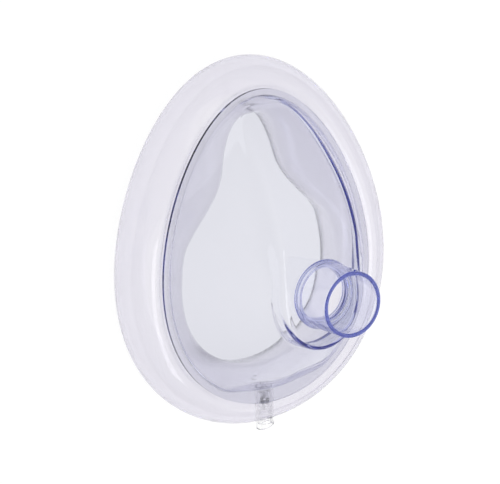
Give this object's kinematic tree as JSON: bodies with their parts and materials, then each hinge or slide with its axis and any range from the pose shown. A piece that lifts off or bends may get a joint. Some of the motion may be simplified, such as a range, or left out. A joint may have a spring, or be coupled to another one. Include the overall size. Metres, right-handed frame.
{
  "type": "bag valve mask face mask",
  "caption": "Clear resuscitation face mask: domed shell with a 22 mm female port on an egg-shaped air cushion, with a luer check valve at the chin.",
  "frame": {"origin": "centre of the bounding box in plan, on the plane that the cushion rests on", "axes": "+Z out of the face along the port's axis, +Y to the nose, X across the face"},
  "size_m": [0.1186, 0.1475, 0.08],
  "materials": {
    "clear_pvc": "gloss",
    "port_pvc": "gloss",
    "cushion_film": "gloss",
    "valve_plastic": "satin",
    "seal_rubber": "matte",
    "spring_steel": "polished"
  },
  "bodies": {
    "mask": {"dome_shell": "clear_pvc", "port_tube": "port_pvc", "cushion": "cushion_film", "fill_spout": "cushion_film", "valve_body": "clear_pvc", "valve_retainer": "valve_plastic", "valve_spring": "spring_steel"},
    "plunger": {"valve_plunger": "valve_plastic", "plunger_seal": "seal_rubber"}
  },
  "joints": [
    {"name": "valve_plunger_slide", "type": "slide", "parent": "mask", "child": "plunger", "axis": [0, 1, 0], "range_m": [0, 0.0015], "stiffness_N_per_m": 300, "springref_m": -0.001, "deforming": ["valve_spring"]}
  ]
}
